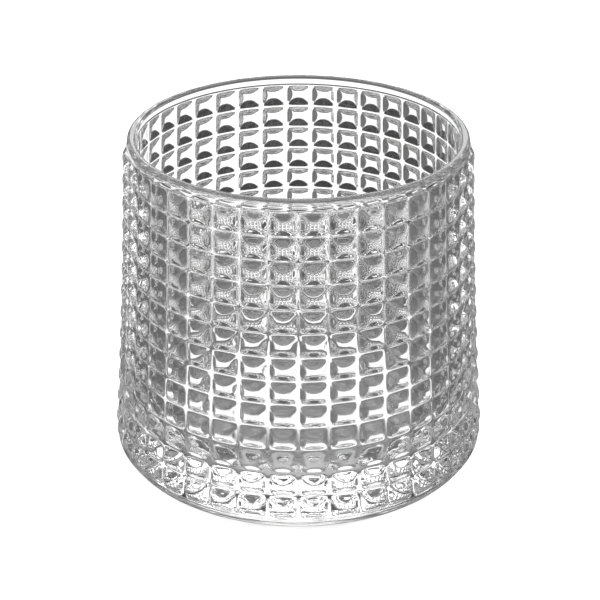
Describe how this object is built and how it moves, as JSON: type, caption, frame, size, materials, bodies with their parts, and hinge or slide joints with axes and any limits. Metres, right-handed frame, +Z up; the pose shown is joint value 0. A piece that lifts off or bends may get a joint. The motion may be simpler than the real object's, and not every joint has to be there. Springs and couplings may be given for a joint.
{
  "type": "whiskey tumbler",
  "caption": "Heavy clear glass rocks tumbler, wider at the base than at the lip, with pyramid studs pressed all over its outside wall.",
  "frame": {"origin": "middle of the resting ring, on the plane the glass stands on", "axes": "+Z up along the axis of the glass, towards the lip; a groove between studs faces -Y"},
  "size_m": [0.0888, 0.0888, 0.08],
  "materials": {
    "clear_glass": "clear pressed glass, fire polished"
  },
  "bodies": {
    "root": {"glass_body": "clear_glass"}
  },
  "joints": []
}
